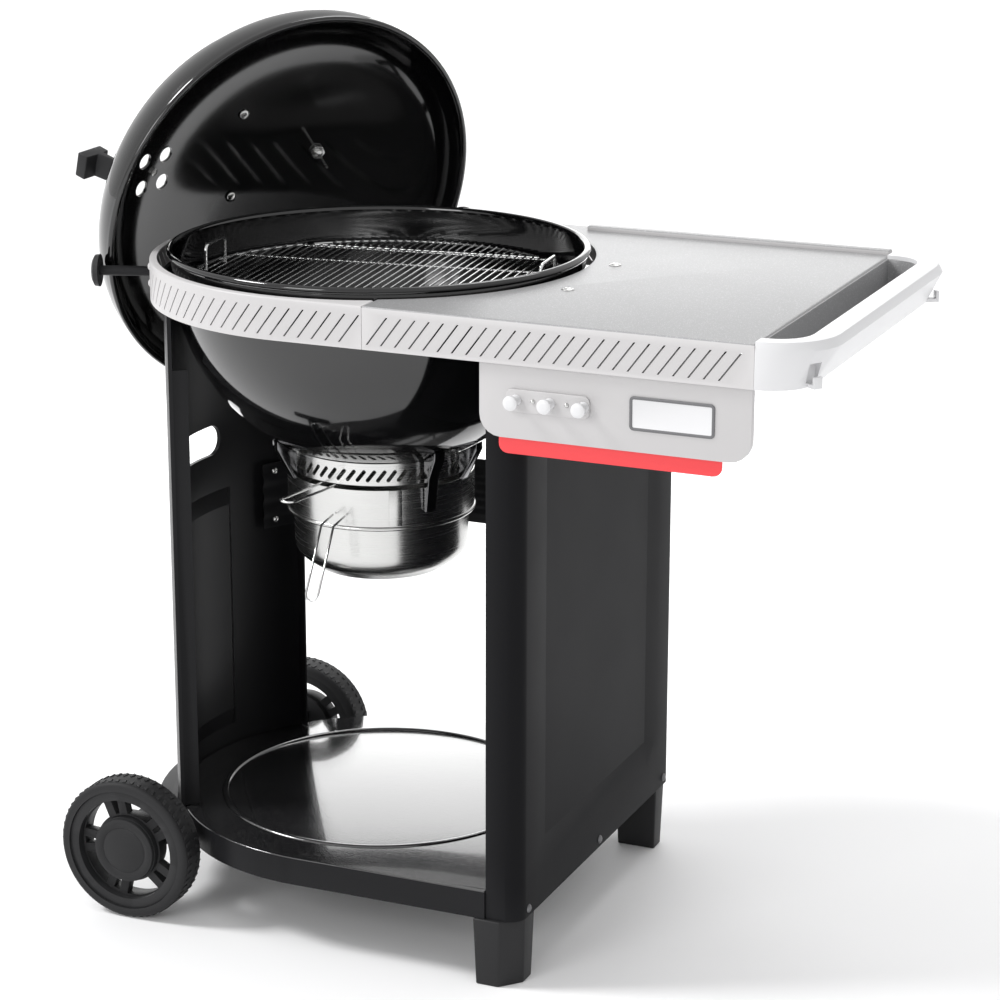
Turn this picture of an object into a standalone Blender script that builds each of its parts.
"""Kettle charcoal grill on a wheeled cart with a side table. Metres, +Z up.

Everything is modelled round the kettle's own axis, with z = 0 in the plane of the bowl's rim.
The empty "kettle_axis" then stands the whole grill on z = 0, with its box centred on the origin.
X runs along the cart (wheels at -X, table at +X) and -Y is the front.
"""

import math

import bmesh
import bpy
from mathutils import Matrix, Vector

# ---------------------------------------------------------------- driving dimensions
GAP = 0.0003  # clearance between pieces that touch
RIM_HEIGHT = 0.924  # floor to bowl rim
KETTLE_X = -0.1240  # kettle axis from the middle of the grill's box
KETTLE_Y = -0.0385

BOWL_RADIUS = 0.282
BOWL_BEAD_RADIUS = 0.289
BOWL_SHOULDER_Z = -0.020
BOWL_DEPTH = 0.2825
BOWL_POWER = 2.09
BOWL_WALL = 0.0025

RING_RADIUS = 0.311
RING_TOP_Z = -0.013
RING_BOTTOM_Z = -0.069
RING_LIP_RADIUS = 0.301
RING_WALL = 0.0025
SHEET = 0.002
SEAM_X = 0.124
TABLE_HOLE_RADIUS = 0.296
TABLE_END_X = 0.643
TABLE_BACK_Y = 0.2905

PANEL_INNER_RADIUS = 0.2885
PANEL_OUTER_RADIUS = 0.2940
PANEL_HALF_ANGLE = 39.0  # degrees either side of -X
PANEL_TOP_Z = -0.035
PANEL_BOTTOM_Z = -0.829
PANEL_FLANGE_RADIUS = 0.2675
PANEL_FLANGE_TOP_Z = -0.160
HAND_SLOT_Y = 0.0025
HAND_SLOT_Z = -0.318
HAND_SLOT_LENGTH = 0.105
HAND_SLOT_HEIGHT = 0.044

SHELF_RADIUS = 0.2880
SHELF_TOP_Z = -0.790
SHELF_STEP_X = 0.2825
SHELF_END_X = 0.3288

SIDE_X = 0.332  # outer face of the right-hand panel
SIDE_HALF_WIDTH = 0.285
SIDE_FLANGE_X = 0.283
SIDE_WALL = 0.0025
SIDE_CORNER = 0.022

CROSSBAR_RADIUS = 0.282
CROSSBAR_TOP_Z = -0.373
CROSSBAR_BOTTOM_Z = -0.471

WHEEL_RADIUS = 0.1004
WHEEL_X = -0.263
WHEEL_FACE_Y = 0.290
WHEEL_WIDTH = 0.045
TYRE_INNER_RADIUS = 0.0862
AXLE_RADIUS = 0.005
AXLE_BORE_RADIUS = 0.0054

BUCKET_BAND_RADIUS = 0.1308
BUCKET_TOP_Z = -0.3135
BUCKET_BOTTOM_Z = -0.455
COLLAR_RADIUS = 0.125
COLLAR_BOTTOM_Z = -0.308
LEVER_Z = -0.3108
LEVER_ANGLE = 261.0

GRATE_Z = -0.049
GRATE_RADIUS = 0.270
GRATE_TURN = 7.0  # degrees
GRATE_HINGE = 0.200
GRATE_HANDLE_X = 0.2388
GRATE_PITCH = GRATE_HANDLE_X / 11.5  # puts a bar under each handle
BAR_WIDTH = 0.0055
COAL_GRATE_Z = -0.195
COAL_GRATE_RADIUS = 0.2180

LID_RADIUS = 0.294
LID_DEPTH = 0.160
LID_WALL = 0.0022
LID_CENTRE = (-0.2007, 0.1290, 0.0164)
LID_LEAN = 71.15  # degrees from lying flat
LID_TURN = 59.0
VENT_X = -0.150
GAUGE_X = 0.130

WHEEL_Z = WHEEL_RADIUS - RIM_HEIGHT
POST_Z = -0.044
BAIL_Y = -0.1338
BAIL_Z = -0.3500
VENT_START = 21.0  # degrees to the first sweep vent
SWEEP_CLEARANCE = 0.0030  # over the bowl, between its steps
DAMPER_TURN = 180.0

ROUND = 48  # steps round the large turned pieces

# ---------------------------------------------------------------- clean start
for old in list(bpy.data.objects):
    bpy.data.objects.remove(old, do_unlink=True)

kettle_axis = bpy.data.objects.new("kettle_axis", None)
bpy.context.scene.collection.objects.link(kettle_axis)
kettle_axis.location = (KETTLE_X, KETTLE_Y, RIM_HEIGHT)


def finish(name, colour, roughness, metallic=0.0):
    """A Principled material."""
    material = bpy.data.materials.new(name)
    material.use_nodes = True
    shader = material.node_tree.nodes["Principled BSDF"]
    shader.inputs["Base Color"].default_value = (*colour, 1.0)
    shader.inputs["Roughness"].default_value = roughness
    shader.inputs["Metallic"].default_value = metallic
    return material


ENAMEL = ("black_enamel", (0.008, 0.008, 0.009), 0.12)
CART_BLACK = ("cart_black", (0.030, 0.030, 0.031), 0.38)
SHELF_BLACK = ("shelf_black", (0.022, 0.022, 0.023), 0.20)
LIGHT_GREY = ("light_grey_paint", (0.66, 0.65, 0.66), 0.42)
TABLE_GREY = ("table_grey_paint", (0.60, 0.60, 0.60), 0.35)
WHITE_PLASTIC = ("white_plastic", (0.84, 0.84, 0.85), 0.35)
RED_PAINT = ("red_paint", (0.95, 0.09, 0.10), 0.35)
BLACK_PLASTIC = ("black_plastic", (0.035, 0.035, 0.036), 0.55)
TYRE_RUBBER = ("tyre_rubber", (0.040, 0.040, 0.041), 0.60)
STAINLESS = ("stainless_steel", (0.62, 0.62, 0.61), 0.25, 1.0)
CHROME = ("chrome_wire", (0.72, 0.72, 0.72), 0.15, 1.0)
DARK_STEEL = ("dark_steel", (0.20, 0.20, 0.20), 0.40, 1.0)


# ---------------------------------------------------------------- helpers
def place(obj, parent=kettle_axis, location=(0, 0, 0), rotation=(0, 0, 0)):
    """Hangs an object on the kettle axis, or on another parent, with its rotation in degrees."""
    obj.parent = parent
    obj.location = location
    obj.rotation_euler = [math.radians(angle) for angle in rotation]
    return obj


def piece(name, bm, look, sharp=32, **placing):
    """Turns a bmesh into a placed object of its own, with its own material."""
    bmesh.ops.remove_doubles(bm, verts=bm.verts, dist=1e-6)
    bmesh.ops.recalc_face_normals(bm, faces=bm.faces)
    if bm.calc_volume(signed=True) < 0:
        bmesh.ops.reverse_faces(bm, faces=bm.faces)
    mesh = bpy.data.meshes.new(name)
    bm.to_mesh(mesh)
    bm.free()
    mesh.shade_smooth()
    mesh.set_sharp_from_angle(angle=math.radians(sharp))
    obj = bpy.data.objects.new(name, mesh)
    bpy.context.scene.collection.objects.link(obj)
    if look:
        mesh.materials.append(finish(name + "_" + look[0], *look[1:]))
    return place(obj, **placing)


def skin(loops, closed=False):
    """A bmesh skinned over rings of equal length, capped at both ends or closed on itself."""
    bm = bmesh.new()
    rings = [[bm.verts.new(point) for point in loop] for loop in loops]
    count = len(rings[0])
    pairs = list(zip(rings, rings[1:]))
    if closed:
        pairs.append((rings[-1], rings[0]))
    for lower, upper in pairs:
        for i in range(count):
            j = (i + 1) % count
            bm.faces.new((lower[i], lower[j], upper[j], upper[i]))
    if not closed:
        bm.faces.new(rings[0])
        bm.faces.new(rings[-1])
    return bm


def level(outline, z):
    """A plan outline lifted to a height."""
    return [(x, y, z) for x, y in outline]


def prism(outline, z0, z1):
    """A plan outline extruded upwards."""
    return skin([level(outline, z0), level(outline, z1)])


def pan(outline, inner, rim_z, floor_z, back_z):
    """A sheet pan: a floor from floor_z to back_z, with a folded edge down or up to rim_z."""
    return skin([level(inner, floor_z), level(inner, rim_z), level(outline, rim_z), level(outline, back_z)])


def turned(profile, steps=ROUND):
    """A closed (radius, z) profile spun about Z. Its first and last points may lie on the axis."""
    bm = bmesh.new()
    verts = [bm.verts.new((r, 0, z)) for r, z in profile]
    on_axis = profile[0][0] == 0 and profile[-1][0] == 0
    edges = [bm.edges.new(pair) for pair in zip(verts, verts[1:])]
    if not on_axis:
        edges.append(bm.edges.new((verts[-1], verts[0])))
    bmesh.ops.spin(
        bm, geom=verts + edges, axis=(0, 0, 1), cent=(0, 0, 0), angle=math.tau, steps=steps, use_merge=True
    )
    return bm


def arc(radius, start, end, steps, centre=(0, 0)):
    """Points along an arc, with its angles in degrees."""
    angles = [math.radians(start + (end - start) * i / steps) for i in range(steps + 1)]
    return [(centre[0] + radius * math.cos(a), centre[1] + radius * math.sin(a)) for a in angles]


def rounded(corners, steps=5):
    """An outline through (x, y, radius) corners, each one rounded to its radius."""
    outline = []
    for i, (x, y, radius) in enumerate(corners):
        corner = Vector((x, y))
        if radius == 0:
            outline.append((x, y))
            continue
        back = (Vector(corners[i - 1][:2]) - corner).normalized()
        ahead = (Vector(corners[(i + 1) % len(corners)][:2]) - corner).normalized()
        half = back.angle(ahead) / 2
        reach = radius / math.tan(half)
        centre = corner + (back + ahead).normalized() * (radius / math.sin(half))
        start = corner + back * reach - centre
        sweep = start.angle_signed(corner + ahead * reach - centre)
        for k in range(steps + 1):
            spoke = Matrix.Rotation(-sweep * k / steps, 2) @ start
            outline.append(tuple(centre + spoke))
    return outline


def slab(x0, x1, y0, y1, radius=0.0, steps=5):
    """A rectangle with equal round corners."""
    corners = [(x0, y0, radius), (x1, y0, radius), (x1, y1, radius), (x0, y1, radius)]
    return rounded(corners, steps)


def facing_front(bm, y):
    """Stands a plan shape up: its x stays, its y becomes height, and its z becomes depth behind y."""
    bm.transform(Matrix.Translation((0, y, 0)) @ Matrix.Rotation(math.radians(90), 4, "X"))
    return bm


def radial(bm, angle):
    """Takes a shape drawn in x = radius and y = height, and sets it at an angle round the kettle axis."""
    stand = Matrix.Rotation(math.radians(90), 4, "X")
    bm.transform(Matrix.Rotation(math.radians(angle), 4, "Z") @ stand)
    return bm


def tool(name, bm, **placing):
    """A cutter, which isn't part of the grill."""
    obj = piece(name, bm, None, **placing)
    obj.hide_render = True
    obj.display_type = "WIRE"
    return obj


def boolean(obj, other, operation="DIFFERENCE"):
    """Cuts or joins with a Boolean modifier."""
    modifier = obj.modifiers.new(operation.lower(), "BOOLEAN")
    modifier.operation = operation
    modifier.solver = "EXACT"
    modifier.object = other
    return obj


def wire(name, points, radius, look, cyclic=False, sides=1, **placing):
    """A round wire or tube through points, as a bevelled curve."""
    curve = bpy.data.curves.new(name, "CURVE")
    curve.dimensions = "3D"
    curve.bevel_depth = radius
    curve.bevel_resolution = sides
    curve.use_fill_caps = not cyclic
    spline = curve.splines.new("POLY")
    spline.points.add(len(points) - 1)
    for knot, point in zip(spline.points, points):
        knot.co = (*point, 1.0)
    spline.use_cyclic_u = cyclic
    obj = bpy.data.objects.new(name, curve)
    bpy.context.scene.collection.objects.link(obj)
    curve.materials.append(finish(name + "_" + look[0], *look[1:]))
    return place(obj, **placing)


def bowl_z(radius, inset=0.0):
    """Height of the bowl's shell at a radius; inset moves the surface inwards."""
    share = min(1.0, radius / (BOWL_RADIUS - inset))
    return BOWL_SHOULDER_Z - (BOWL_DEPTH - inset) * (1 - share**BOWL_POWER) ** (1 / BOWL_POWER)


# ---------------------------------------------------------------- cart
def left_side_panel():
    """Curved left wall with inward flanges, a hand slot and a notch for the axle."""
    start = 180 - PANEL_HALF_ANGLE
    end = 180 + PANEL_HALF_ANGLE
    steps = 18
    wall = arc(PANEL_OUTER_RADIUS, start, end, steps) + arc(PANEL_INNER_RADIUS, end, start, steps)
    panel = piece("left_side_panel", prism(wall, PANEL_BOTTOM_Z, PANEL_TOP_Z), CART_BLACK)
    thick = 0.0025
    reach = PANEL_INNER_RADIUS + 0.002
    flange = slab(PANEL_FLANGE_RADIUS, reach, 0, thick)
    low = SHELF_TOP_Z + 0.001
    spans = [("front", end, -thick, low, PANEL_FLANGE_TOP_Z)]
    spans.append(("rear_low", start, 0, low, CROSSBAR_BOTTOM_Z - 0.004))
    spans.append(("rear_high", start, 0, CROSSBAR_TOP_Z + 0.004, PANEL_FLANGE_TOP_Z))
    for name, angle, shift, z0, z1 in spans:
        strip = prism([(x, y + shift) for x, y in flange], z0, z1)
        strip.transform(Matrix.Rotation(math.radians(angle), 4, "Z"))
        nudge = 0.0004 if angle == start else -0.0004
        join = tool("panel_flange_" + name, strip, rotation=(0, 0, math.degrees(nudge / reach)))
        boolean(panel, join, "UNION")
    half = HAND_SLOT_LENGTH / 2
    tall = HAND_SLOT_HEIGHT / 2
    slot = slab(-half, half, -tall, tall, tall - 0.0005, 6)
    cut = prism(slot, -0.02, 0.02)
    cut.transform(Matrix.Rotation(math.radians(90), 4, "Z") @ Matrix.Rotation(math.radians(90), 4, "X"))
    boolean(panel, tool("hand_slot", cut, location=(-PANEL_OUTER_RADIUS, HAND_SLOT_Y, HAND_SLOT_Z)))
    boolean(panel, axle_notch)


def right_side_panel():
    """Tall channel under the table."""
    y = SIDE_HALF_WIDTH
    wall = SIDE_WALL
    outline = rounded(
        [
            (SIDE_FLANGE_X, -y, 0),
            (SIDE_X, -y, SIDE_CORNER),
            (SIDE_X, y, SIDE_CORNER),
            (SIDE_FLANGE_X, y, 0),
            (SIDE_FLANGE_X, y - wall, 0),
            (SIDE_X - wall, y - wall, SIDE_CORNER - wall),
            (SIDE_X - wall, wall - y, SIDE_CORNER - wall),
            (SIDE_FLANGE_X, wall - y, 0),
        ]
    )
    piece("right_side_panel", prism(outline, PANEL_BOTTOM_Z, RING_TOP_Z - SHEET - 0.0005), CART_BLACK)


def shelf_outline(inset):
    """D-shaped plan of the shelf, with a narrower end that fits inside the right-hand panel."""
    radius = SHELF_RADIUS - inset
    neck = SIDE_HALF_WIDTH - SIDE_WALL - 0.0005 - inset
    end = SHELF_END_X - inset
    step = SHELF_STEP_X - inset
    corner = SIDE_CORNER - inset
    right = rounded([(end, -neck, corner), (end, neck, corner), (0, neck, 0), (0, -neck, 0)])[:-2]
    return right + [(step, neck), (step, radius)] + arc(radius, 90, 270, 32) + [(step, -radius),
            (step, -neck)]


def bottom_shelf():
    """Flat shelf with a skirt, open underneath."""
    bm = pan(shelf_outline(0), shelf_outline(SHEET), PANEL_BOTTOM_Z, SHELF_TOP_Z - SHEET, SHELF_TOP_Z)
    shelf = piece("bottom_shelf", bm, SHELF_BLACK)
    boolean(shelf, axle_notch)


def rear_crossbar():
    """Band that ties the two side panels together round the back."""
    outer = [(SIDE_X - 0.024, CROSSBAR_RADIUS)] + arc(CROSSBAR_RADIUS, 90, 154, 14)
    inner = arc(CROSSBAR_RADIUS - SHEET, 154, 90, 14) + [(SIDE_X - 0.024, CROSSBAR_RADIUS - SHEET)]
    piece("rear_crossbar", prism(outer + inner, CROSSBAR_BOTTOM_Z, CROSSBAR_TOP_Z), CART_BLACK)


def feet():
    """Two moulded feet under the right-hand panel."""
    low = (0.2700, 0.3270, 0.2330, 0.2880)
    high = (0.2670, 0.3300, 0.2300, 0.2910)
    for name, side in (("front_foot", -1), ("rear_foot", 1)):
        loops = []
        for (x0, x1, y0, y1), z in ((low, -RIM_HEIGHT), (high, PANEL_BOTTOM_Z - GAP)):
            plan = [(x0, y0), (x1, y0), (x1, y1 - 0.028), (x1 - 0.025, y1), (x0, y1)]
            loops.append([(x, side * y, z) for x, y in plan])
        piece(name, skin(loops), BLACK_PLASTIC)


def axle_parts():
    """Axle and the curved moulding that carries it outside the left panel."""
    inner_r = PANEL_OUTER_RADIUS + 0.0006
    outer_r = 0.322
    boss_x = WHEEL_X
    boss_half = 0.019
    end_y = WHEEL_FACE_Y - WHEEL_WIDTH - 0.002
    inner_y = math.sqrt(inner_r**2 - (boss_x + boss_half) ** 2)
    outer_y = math.sqrt(outer_r**2 - (boss_x - boss_half) ** 2)
    inner_a = math.degrees(math.atan2(inner_y, -(boss_x + boss_half)))
    outer_a = math.degrees(math.atan2(outer_y, -(boss_x - boss_half)))
    outline = [(boss_x + boss_half, end_y)]
    outline += arc(inner_r, 180 - inner_a, 180 + inner_a, 14)
    outline += [(boss_x + boss_half, -end_y), (boss_x - boss_half, -end_y)]
    outline += arc(outer_r, 180 + outer_a, 180 - outer_a, 14)
    outline += [(boss_x - boss_half, end_y)]
    body = prism(outline, WHEEL_Z - 0.021, WHEEL_Z + 0.029)
    housing = piece("axle_housing", body, BLACK_PLASTIC)
    boolean(housing, tool("axle_bore", along_y(turned([(0, 0.3), (0.006, 0.3), (0.006, -0.3), (0, -0.3)],
                                                      16)),
                          location=(WHEEL_X, 0, WHEEL_Z)))
    half = WHEEL_FACE_Y - 0.0090
    rod = turned([(0, half), (AXLE_RADIUS, half), (AXLE_RADIUS, -half), (0, -half)], 20)
    piece("axle", along_y(rod), DARK_STEEL, location=(WHEEL_X, 0, WHEEL_Z))


def along_y(bm):
    """Lays a turned shape along Y, with its +Z end at -Y."""
    bm.transform(Matrix.Rotation(math.radians(90), 4, "X"))
    return bm


def wheels():
    """Two wheels, each with a spoked body, a tyre and a hub cap; their origins are on the axle."""
    half = WHEEL_WIDTH / 2
    rim = TYRE_INNER_RADIUS - GAP
    hub = half - 0.006
    body = [
        (AXLE_BORE_RADIUS, hub), (0.047, hub), (0.047, 0.007), (0.0725, 0.007), (0.0725, half - 0.003),
        (rim, half - 0.003), (rim, 0.003 - half), (0.0725, 0.003 - half), (0.0725, -0.007), (0.047, -0.007),
        (0.047, -hub), (AXLE_BORE_RADIUS, -hub),
    ]
    tread = WHEEL_RADIUS
    tyre = [
        (TYRE_INNER_RADIUS, half), (tread - 0.004, half), (tread, half - 0.005), (tread, 0.005 - half),
        (tread - 0.004, -half), (TYRE_INNER_RADIUS, -half),
    ]
    cap = [(0, half), (0.040, half), (0.046, half - 0.003), (0.046, hub + GAP), (0, hub + GAP)]
    window = arc(0.0705, -24, 24, 5) + arc(0.0495, 20, -20, 5)
    for name, side in (("front", 1), ("rear", -1)):
        spot = (WHEEL_X, -side * (WHEEL_FACE_Y - half), WHEEL_Z)
        turn = (0, 0, 0 if side == 1 else 180)
        wheel = piece(name + "_wheel", along_y(turned(body, 32)), BLACK_PLASTIC, location=spot,
                      rotation=turn)
        for k in range(5):
            cutter = prism(window, -0.03, 0.03)
            cutter.transform(Matrix.Rotation(math.radians(90 + 72 * k), 4, "Z"))
            boolean(wheel, tool(f"{name}_window_{k}", along_y(cutter), location=spot))
        piece(name + "_tyre", along_y(turned(tyre, 32)), TYRE_RUBBER, location=spot, rotation=turn)
        piece(name + "_hub_cap", along_y(turned(cap, 28)), BLACK_PLASTIC, location=spot, rotation=turn)


# ---------------------------------------------------------------- ring and table
def frame_outline(inset, end_x):
    """Plan of the ring and table together: round at the left, straight in front, shallower behind."""
    radius = RING_RADIUS - inset
    back = TABLE_BACK_Y - inset
    tangent = math.degrees(math.asin(back / radius))
    sweep = arc(radius, tangent, 270, 40)
    return [(end_x - inset, -radius), (end_x - inset, back)] + sweep


def frame_ring():
    """Sheet ring round the bowl, up to the seam with the table."""
    outline = frame_outline(0, 0.200)
    inner = frame_outline(RING_WALL, 0.200)
    ring = piece("frame_ring", pan(outline, inner, RING_BOTTOM_Z, RING_TOP_Z - SHEET, RING_TOP_Z),
                 LIGHT_GREY)
    boolean(ring, tool("ring_hole", turned([(0, 0.02), (RING_LIP_RADIUS, 0.02), (RING_LIP_RADIUS, -0.10),
                                            (0, -0.10)])))
    boolean(ring, tool("ring_end", prism(slab(SEAM_X - GAP, 0.30, -0.35, 0.35), -0.10, 0.02)))


def table_top():
    """Sheet table with an apron, a round cut-out for the bowl and a raised rear edge."""
    outline = frame_outline(0, TABLE_END_X)
    inner = frame_outline(RING_WALL, TABLE_END_X)
    table = piece("table_top", pan(outline, inner, RING_BOTTOM_Z, RING_TOP_Z - SHEET, RING_TOP_Z),
                  TABLE_GREY)
    hole = TABLE_HOLE_RADIUS
    boolean(table, tool("table_hole", turned([(0, 0.02), (hole, 0.02), (hole, -0.10), (0, -0.10)])))
    boolean(table, tool("table_start", prism(slab(-0.40, SEAM_X + GAP, -0.35, 0.35), -0.10, 0.02)))
    edge = prism(slab(0.200, TABLE_END_X - 0.001, 0.2620, 0.2780), RING_TOP_Z - 0.001, -0.007)
    boolean(table, tool("rear_edge", edge), "UNION")


def recess(inset):
    """Plan of the tray recess at the end of the table."""
    x0 = TABLE_END_X + GAP + inset
    return rounded([(x0, -0.287 + inset, 0), (0.695 - inset, -0.287 + inset, 0.045 - inset),
                    (0.695 - inset, 0.248 - inset, 0.040 - inset), (x0, 0.248 - inset, 0)], 6)


def end_handle():
    """Moulded frame round the table's end: a handle that leans outwards, with a hook at each corner."""
    x0 = TABLE_END_X + GAP
    edge = TABLE_BACK_Y
    low = rounded([(x0, -0.311, 0), (0.701, -0.311, 0.057), (0.701, edge, 0.055), (x0, edge, 0)], 7)
    high = rounded([(x0, -0.311, 0), (0.728, -0.311, 0.083), (0.728, edge, 0.080), (x0, edge, 0)], 7)
    crest = rounded([(x0, -0.309, 0), (0.724, -0.309, 0.080), (0.724, 0.279, 0.076), (x0, 0.279, 0)], 7)
    loops = [level(low, RING_BOTTOM_Z), level(high, -0.022), level(crest, -0.010)]
    handle = piece("end_handle", skin(loops), WHITE_PLASTIC)
    mouth = [(x - 0.02 if x < x0 + 0.001 else x, y) for x, y in recess(0)]
    boolean(handle, tool("recess_cut", prism(mouth, -0.10, 0.02)))
    for name, y, angle in (("front", -0.268, -35), ("rear", 0.246, 35)):
        notch = prism(slab(-0.004, 0.030, -0.010, 0.010), -0.0630, -0.0380)
        boolean(handle, tool("hook_notch_" + name, notch, location=(0.700, y, 0), rotation=(0, 0, angle)))
        side = [(-0.006, -0.0685), (0.016, -0.0685), (0.016, -0.0540), (0.012, -0.0540), (0.012, -0.0640),
                (-0.006, -0.0640)]
        hook = facing_front(prism(side, -0.006, 0.006), 0)
        boolean(handle, tool("hook_" + name, hook, location=(0.700, y, 0), rotation=(0, 0, angle)), "UNION")


def tool_tray():
    """Deep tray in the recess between the table and the handle."""
    floor = -0.060
    outer = level(recess(GAP), floor)
    rim = level(recess(GAP), RING_TOP_Z - 0.002)
    wall = level(recess(0.0018), RING_TOP_Z - 0.002)
    bed = level(recess(0.0018), floor + 0.0015)
    piece("tool_tray", skin([outer, rim, wall, bed]), TABLE_GREY)


def front_pieces():
    """Front panel below the table, with its badge plate, its hooks and the red strip."""
    plan = rounded([(0.283, -0.164, 0.028), (0.640, -0.164, 0.028), (0.640, -0.030, 0.004),
                    (0.283, -0.030, 0.004)])
    hem = rounded([(0.285, -0.162, 0.026), (0.638, -0.162, 0.026), (0.638, -0.032, 0.002),
                   (0.285, -0.032, 0.002)])
    panel = pan(plan, hem, 0.0, 0.008, 0.010)
    piece("front_panel", facing_front(panel, -0.295), LIGHT_GREY)
    strip = rounded([(0.305, -0.187, 0.012), (0.600, -0.187, 0.012), (0.600, -0.120, 0),
                     (0.305, -0.120, 0)])
    piece("accent_strip", facing_front(prism(strip, 0, 0.003), -0.2915), RED_PAINT)
    badge = prism(slab(0.483, 0.594, -0.137, -0.093, 0.006), 0, 0.0015)
    piece("badge_plate", facing_front(badge, -0.305 - GAP), DARK_STEEL)
    plate = prism(slab(0.3205, 0.4315, -0.1290, -0.1000, 0.008), 0, 0.0025)
    piece("hook_plate", facing_front(plate, -0.305 - GAP), LIGHT_GREY)
    knob = [(0, 0), (0.0070, 0), (0.0055, 0.0035), (0.0055, 0.0120), (0.0090, 0.0150), (0.0095, 0.0190),
            (0.0075, 0.0215), (0, 0.0220)]
    for number, x in enumerate((0.334, 0.379, 0.424), 1):
        peg = along_y(turned(knob[::-1], 12))
        piece(f"tool_hook_{number}", peg, WHITE_PLASTIC, location=(x, -0.3078 - GAP, -0.1135))


def table_fixings():
    """Two domed screws through the table, and the braces that carry it from the right-hand panel."""
    dome = [(0, 0.0030), (0.004, 0.0026), (0.0075, 0.0012), (0.0085, GAP), (0, GAP)]
    for name, y in (("front", -0.117), ("rear", 0.051)):
        piece("table_screw_" + name, turned(dome, 20), STAINLESS, location=(0.325, y, RING_TOP_Z))
    top = RING_TOP_Z - SHEET - 0.0005
    side = [(SIDE_X + GAP, top), (SIDE_X + GAP, top - 0.110), (0.350, top - 0.110), (0.600, top - 0.030),
            (0.600, top)]
    for name, y in (("front", -0.255), ("rear", 0.255)):
        plate = facing_front(prism(side, -0.0015, 0.0015), y)
        piece("table_brace_" + name, plate, CART_BLACK)


def lid_holder():
    """Two posts with end caps that hold the lid's rim, and the ledge its lower edge stands on."""
    for name, angle, length in (("front", 199.0, 0.0735), ("rear", 97.4, 0.0870)):
        turn = (0, 0, angle)
        rod = turned([(0, length), (0.0070, length), (0.0070, 0), (0, 0)], 16)
        rod.transform(Matrix.Rotation(math.radians(90), 4, "Y"))
        out = math.radians(angle)
        foot = RING_RADIUS + 0.0006
        spot = (foot * math.cos(out), foot * math.sin(out), POST_Z)
        piece("lid_post_" + name, rod, CART_BLACK, location=spot, rotation=turn)
        cap = turned([(0, 0.0095), (0.016, 0.0095), (0.0215, 0.0065), (0.0225, 0), (0, 0)], 24)
        cap.transform(Matrix.Rotation(math.radians(90), 4, "Y"))
        tip = foot + length + GAP
        spot = (tip * math.cos(out), tip * math.sin(out), POST_Z)
        piece("lid_post_cap_" + name, cap, BLACK_PLASTIC, location=spot, rotation=turn)
    r0 = PANEL_OUTER_RADIUS + GAP
    side = [(r0, -0.310), (r0 + 0.003, -0.310), (r0 + 0.003, -0.2745), (0.350, -0.2745), (0.350, -0.2705),
            (r0, -0.2705)]
    piece("lid_ledge", radial(prism(side, -0.015, 0.015), 147.6), CART_BLACK)


# ---------------------------------------------------------------- kettle
def bowl():
    """Enamelled bowl with a rolled rim, three sweep vents and the spindle's hole."""
    steps = 8
    radii = [BOWL_RADIUS * math.sin(math.pi / 2 * (1 - i / steps)) for i in range(steps)]
    outside = [(r, bowl_z(r)) for r in radii]
    inner = BOWL_RADIUS - BOWL_WALL
    radii = [inner * math.sin(math.pi / 2 * i / steps) for i in range(1, steps + 1)]
    inside = [(r, bowl_z(r, BOWL_WALL)) for r in radii]
    hole = 0.0065
    bottom = [(hole, bowl_z(hole)), (hole, bowl_z(hole, BOWL_WALL))]
    bead = [(inner, -0.008), (0.281, -0.0015), (0.285, 0.0), (BOWL_BEAD_RADIUS, -0.003),
            (BOWL_BEAD_RADIUS, -0.007),
            (0.285, -0.010), (BOWL_RADIUS, -0.012)]
    obj = piece("bowl", turned(bead + outside + bottom + inside), ENAMEL)
    for k in range(3):
        vent = prism(slab(0.048, 0.104, -0.014, 0.014, 0.0135, 4), -0.32, -0.26)
        boolean(obj, tool(f"sweep_vent_{k}", vent, rotation=(0, 0, VENT_START + 120 * k)))


def bowl_brackets():
    """Three blocks that carry the bowl: one to the right-hand panel and two to the ring."""
    for number, angle, r0, r1, z0, z1 in (
        (1, 0, 0.2765, SIDE_X - SIDE_WALL - GAP, -0.100, -0.085),
        (2, 120, BOWL_RADIUS + 0.0006, RING_RADIUS - RING_WALL - 0.001, -0.050, -0.030),
        (3, 240, BOWL_RADIUS + 0.0006, RING_RADIUS - RING_WALL - 0.001, -0.050, -0.030),
    ):
        block = prism(slab(r0, r1, -0.012, 0.012), z0, z1)
        piece(f"bowl_bracket_{number}", block, CART_BLACK, rotation=(0, 0, angle))


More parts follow.
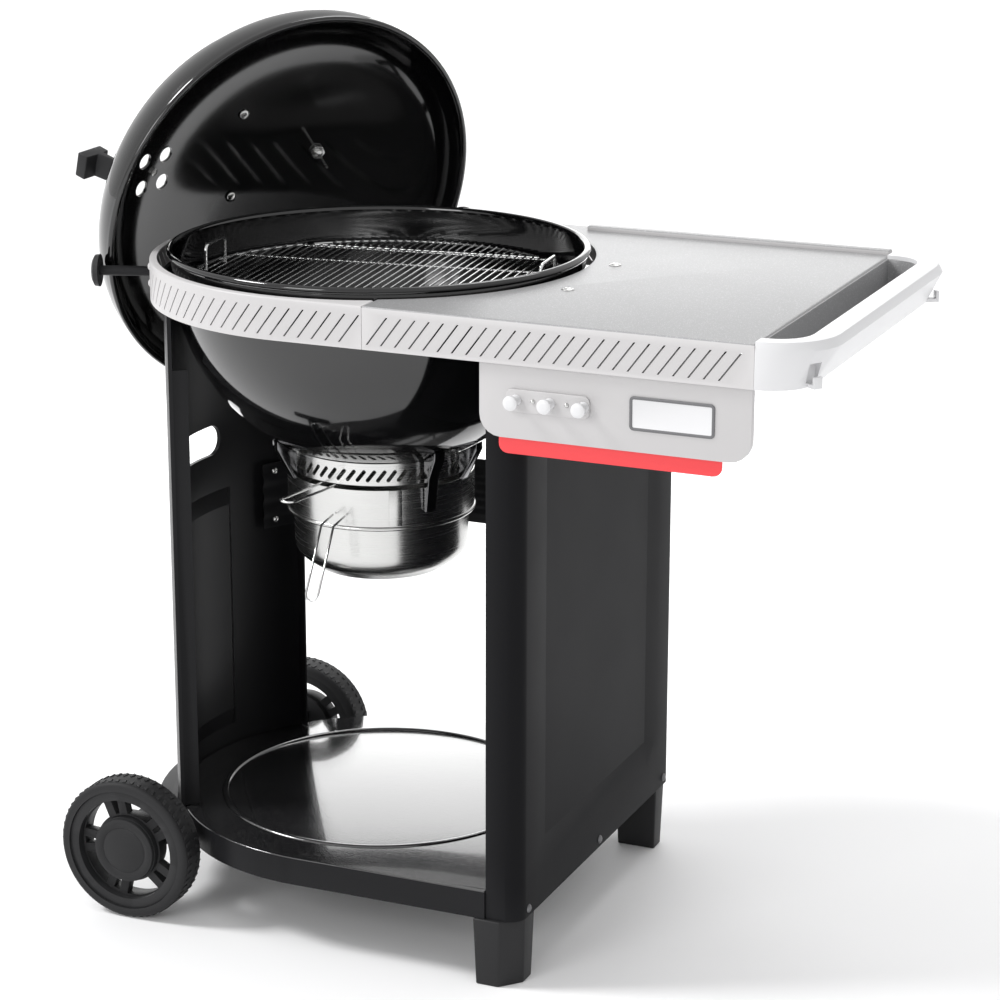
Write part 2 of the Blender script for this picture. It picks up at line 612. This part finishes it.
def grate_plate(radius, low, high, z, thick, pitch, turn_name, look, **placing):
    """A flat grate between two chords, its bars running along Y, with the gaps cut out."""
    edge = 0.006
    side = math.sqrt(radius**2 - min(abs(low), abs(high)) ** 2) if low * high > 0 else radius

    def chord(y_limit, r, x):
        reach = math.sqrt(max(0.0, r * r - x * x))
        return max(-reach, min(reach, y_limit))

    steps = 48
    xs = [-side * math.cos(math.pi * i / steps) for i in range(steps + 1)]
    upper = [(x, chord(high, radius, x)) for x in xs]
    lower = [(x, chord(low, radius, x)) for x in xs]
    outline = lower + [p for p in upper[::-1] if all((Vector(p) - Vector(q)).length > 1e-4 for q in lower)]
    plate = piece(turn_name, prism(outline, z - thick / 2, z + thick / 2), look, **placing)
    gaps = bmesh.new()
    count = int(side / pitch) + 1
    for k in range(-count, count + 1):
        x0 = (k - 0.5) * pitch + BAR_WIDTH / 2
        x1 = (k + 0.5) * pitch - BAR_WIDTH / 2
        if max(abs(x0), abs(x1)) > radius - edge:
            continue
        corners = []
        for x, limit in ((x0, low + edge), (x1, low + edge), (x1, high - edge), (x0, high - edge)):
            corners.append((x, chord(limit, radius - edge, x)))
        if min(corners[3][1] - corners[0][1], corners[2][1] - corners[1][1]) < 0.006:
            continue
        rings = [[gaps.verts.new((x, y, height)) for x, y in corners] for height in (z - 0.01, z + 0.01)]
        gaps.faces.new(rings[0][::-1])
        gaps.faces.new(rings[1])
        for i in range(4):
            j = (i + 1) % 4
            gaps.faces.new((rings[0][i], rings[0][j], rings[1][j], rings[1][i]))
    boolean(plate, tool(turn_name + "_gaps", gaps, **placing))
    return plate


def grates():
    """Charcoal grate low in the bowl, and the cooking grate with its two hinged flaps."""
    grate_plate(COAL_GRATE_RADIUS, -1, 1, COAL_GRATE_Z, 0.006, 0.026, "charcoal_grate", DARK_STEEL)
    turn = (0, 0, GRATE_TURN)
    inner = GRATE_HINGE - 0.0040
    outer = GRATE_HINGE + 0.0040
    main = grate_plate(GRATE_RADIUS, -inner, inner, GRATE_Z, 0.005, GRATE_PITCH, "cooking_grate", CHROME,
                       rotation=turn)
    for k, side in enumerate((-1, 1)):
        loop = rounded([(-0.036, -0.001, 0), (-0.036, 0.040, 0.008), (0.036, 0.040, 0.008),
                        (0.036, -0.001, 0),
                        (0.031, -0.001, 0), (0.031, 0.035, 0.004), (-0.031, 0.035, 0.004),
                        (-0.031, -0.001, 0)], 3)
        hoop = prism(loop, -0.0025, 0.0025)
        hoop.transform(Matrix.Rotation(math.radians(90), 4, "Z") @ Matrix.Rotation(math.radians(90), 4,
                "X"))
        spin = Matrix.Rotation(math.radians(GRATE_TURN), 4, "Z")
        spot = spin @ Vector((side * GRATE_HANDLE_X, 0, GRATE_Z))
        boolean(main, tool(f"grate_handle_{k}", hoop, location=spot, rotation=turn), "UNION")
    for name, side in (("rear", 1), ("front", -1)):
        spin = Matrix.Rotation(math.radians(GRATE_TURN), 4, "Z")
        low, high = (outer, 1) if side == 1 else (-1, -outer)
        flap = grate_plate(GRATE_RADIUS, low, high, 0, 0.005, GRATE_PITCH, "grate_flap_" + name, CHROME)
        for obj in (flap, bpy.data.objects["grate_flap_" + name + "_gaps"]):
            obj.data.transform(Matrix.Translation((0, -side * GRATE_HINGE, 0)))
            place(obj, location=spin @ Vector((0, side * GRATE_HINGE, GRATE_Z)), rotation=turn)


def ash_parts():
    """Slotted collar, its brackets, the sweep with its lever, and the ash bucket with its bail."""
    top = bowl_z(COLLAR_RADIUS) - 0.0010
    collar = [(COLLAR_RADIUS, top), (COLLAR_RADIUS, COLLAR_BOTTOM_Z),
              (COLLAR_RADIUS - SHEET, COLLAR_BOTTOM_Z),
              (COLLAR_RADIUS - SHEET, top - 0.0012)]
    piece("ash_collar", turned(collar, 40), STAINLESS)
    for number, (angle, foot) in enumerate(((232.4, -0.312), (325.0, -0.346), (352.0, -0.312)), 1):
        side = [(0.1322, bowl_z(0.1322) - 0.0008), (0.1322, foot), (0.1375, foot), (0.1450, -0.298),
                (0.1610, -0.268),
                (0.1610, bowl_z(0.1610) - 0.0008), (0.1470, bowl_z(0.1470) - 0.0008)]
        piece(f"ash_bracket_{number}", radial(prism(side, -0.008, 0.008), angle), STAINLESS)
    spindle = turned([(0, -0.2860), (0.0055, -0.2860), (0.0055, -0.3080), (0, -0.3080)], 16)
    sweep = piece("sweep_blades", spindle, DARK_STEEL)
    for k in range(3):
        loops = []
        for i in range(7):
            r = 0.004 + 0.114 * i / 6
            bed = bowl_z(r + 0.0015, BOWL_WALL) + SWEEP_CLEARANCE
            wide = min(0.013, 0.0020 + 0.45 * (r - 0.004))
            loops.append([(r, -wide, bed), (r, wide, bed), (r, wide, bed + 0.0022),
                          (r, -wide, bed + 0.0022)])
        blade = tool(f"blade_{k}", skin(loops), rotation=(0, 0, VENT_START + 60 + 120 * k))
        boolean(sweep, blade, "UNION")
    half = 0.011
    path = [(0.012, half, 0), (0.215, half, 0)]
    path += [(0.215 + x, y, 0) for x, y in arc(half, 75, -75, 8)]
    path += [(0.215, -half, 0), (0.012, -half, 0)]
    wire("sweep_lever", path, 0.0019, CHROME, location=(0, 0, LEVER_Z), rotation=(0, 0, LEVER_ANGLE))
    r = BUCKET_BAND_RADIUS
    skirt = [(r, BUCKET_TOP_Z), (r, -0.3642), (r + 0.001, -0.3662), (r + 0.001, -0.3696),
             (r - 0.001, -0.3712),
             (0.1213, -0.3718), (0.1213, -0.4080), (0.1165, -0.4300), (0.1020, -0.4470), (0.0700, -0.4545),
             (0, BUCKET_BOTTOM_Z)]
    lining = [(0, BUCKET_BOTTOM_Z + 0.0015), (0.0700, -0.4530), (0.1010, -0.4456), (0.1150, -0.4294),
              (0.1198, -0.4078),
              (0.1198, -0.3703), (r - 0.0015, -0.3697), (r - 0.0015, BUCKET_TOP_Z)]
    piece("ash_bucket", turned(skirt + lining, 32), STAINLESS)
    half = 0.0090
    leg = [(0, 0), (-0.0345, -0.0050), (-0.0830, -0.0870)]
    tip = (-0.0885, -0.0950)
    path = [(half, y, z) for y, z in leg]
    path += [(half * 0.7, tip[0] + 0.0015, tip[1] + 0.0022), (0, *tip),
             (-half * 0.7, tip[0] + 0.0015, tip[1] + 0.0022)]
    path += [(-half, y, z) for y, z in leg[::-1]]
    wire("bucket_bail", path, 0.0016, CHROME, location=(0, BAIL_Y, BAIL_Z))


# ---------------------------------------------------------------- lid
def dome(x, inset=0.0):
    """Height of the lid's dome above its rim plane, at a distance from its axis."""
    return (LID_DEPTH - inset) * math.sqrt(1 - (x / (LID_RADIUS - inset)) ** 2)


def on_dome(name, x):
    """An empty on the lid's outside at distance x along its width, with +Z square to the dome."""
    slope = math.degrees(math.atan2(x / LID_RADIUS**2, dome(x) / LID_DEPTH**2))
    empty = bpy.data.objects.new(name, None)
    bpy.context.scene.collection.objects.link(empty)
    return place(empty, parent=lid_axis, location=(x, 0, dome(x)), rotation=(0, slope, 0))


def lid():
    """Domed lid with a rolled rim, four vent holes and the gauge's hole."""
    steps = 7
    ring = [math.pi / 2 * i / steps for i in range(steps + 1)]
    outer = [(LID_RADIUS * math.cos(a), LID_DEPTH * math.sin(a)) for a in ring[::-1]]
    outer[0] = (0, LID_DEPTH)
    r_in = LID_RADIUS - LID_WALL
    inner = [(r_in * math.cos(a), (LID_DEPTH - LID_WALL) * math.sin(a)) for a in ring]
    inner[-1] = (0, LID_DEPTH - LID_WALL)
    rim = [(LID_RADIUS, -0.008), (LID_RADIUS - 0.0015, -0.0105), (r_in - 0.003, -0.0105),
           (r_in - 0.004, -0.008),
           (r_in, -0.0065)]
    shell = piece("lid", turned(outer + rim + inner), ENAMEL, parent=lid_axis)
    for i, x in enumerate((-0.0215, 0.0215)):
        for j, y in enumerate((-0.0215, 0.0215)):
            hole = turned([(0, 0.02), (0.0115, 0.02), (0.0115, -0.03), (0, -0.03)], 12)
            boolean(shell, tool(f"vent_hole_{i}{j}", hole, parent=vent_mark, location=(x, y, 0)))
    hole = turned([(0, 0.02), (0.0060, 0.02), (0.0060, -0.03), (0, -0.03)], 14)
    boolean(shell, tool("gauge_hole", hole, parent=gauge_mark))
    piece("lid_thermometer", turned([(0, 0.014), (0.027, 0.014), (0.030, 0.010), (0.030, 0.0030),
                                     (0.0055, 0.0030),
                                     (0.0055, -0.014), (0.002, -0.016), (0.002, -0.055), (0, -0.055)], 28),
          STAINLESS, parent=gauge_mark)


def lid_handle():
    """Handle across the top of the lid, on a steel heat shield."""
    base = LID_DEPTH + 0.0005
    shield = prism(slab(-0.026, 0.026, -0.085, 0.085, 0.014), base, base + 0.0015)
    piece("handle_heat_shield", shield, STAINLESS, parent=lid_axis)
    foot = base + 0.0015 + GAP
    side = rounded([(-0.088, foot, 0), (-0.098, foot + 0.060, 0.020), (0.098, foot + 0.060, 0.020),
                    (0.088, foot, 0),
                    (0.058, foot, 0), (0.066, foot + 0.040, 0.012), (-0.066, foot + 0.040, 0.012),
                    (-0.058, foot, 0)], 4)
    bar = prism(side, -0.014, 0.014)
    bar.transform(Matrix.Rotation(math.radians(90), 4, "Z") @ Matrix.Rotation(math.radians(90), 4, "X"))
    piece("lid_handle", bar, BLACK_PLASTIC, parent=lid_axis)


def damper():
    """Turning damper with four holes, and the ribbed grip that stands off it."""
    disc = piece("damper_disc", turned([(0, 0.0075), (0.0465, 0.0075), (0.0485, 0.0062), (0.0485, 0.0052),
                                        (0, 0.0052)], 36),
                 STAINLESS, parent=vent_mark)
    for i, x in enumerate((-0.0215, 0.0215)):
        for j, y in enumerate((-0.0215, 0.0215)):
            hole = turned([(0, 0.03), (0.0120, 0.03), (0.0120, -0.01), (0, -0.01)], 12)
            boolean(disc, tool(f"damper_hole_{i}{j}", hole, parent=vent_mark, location=(x, y, 0)))
    side = [(0.044, 0.0078), (0.048, 0.0078), (0.058, 0.054), (0.080, 0.054),
            (0.080, 0.072), (0.036, 0.072), (0.036, 0.054), (0.046, 0.054)]
    grip = prism(side, -0.018, 0.018)
    grip.transform(Matrix.Rotation(math.radians(DAMPER_TURN), 4, "Z") @ Matrix.Rotation(math.radians(90), 4,
            "X"))
    piece("damper_grip", grip, BLACK_PLASTIC, parent=vent_mark)



lid_axis = bpy.data.objects.new("lid_axis", None)
bpy.context.scene.collection.objects.link(lid_axis)
place(lid_axis, location=LID_CENTRE, rotation=(-LID_LEAN, 0, LID_TURN))
vent_mark = on_dome("vent_mark", VENT_X)
gauge_mark = on_dome("gauge_mark", GAUGE_X)
axle_notch = tool("axle_notch", prism(slab(WHEEL_X - 0.008, WHEEL_X + 0.008, -0.16, 0.16), -0.85,
                                      WHEEL_Z + 0.008))

left_side_panel()
right_side_panel()
bottom_shelf()
rear_crossbar()
feet()
axle_parts()
wheels()
frame_ring()
table_top()
end_handle()
tool_tray()
front_pieces()
table_fixings()
lid_holder()
bowl()
bowl_brackets()
grates()
ash_parts()
lid()
lid_handle()
damper()
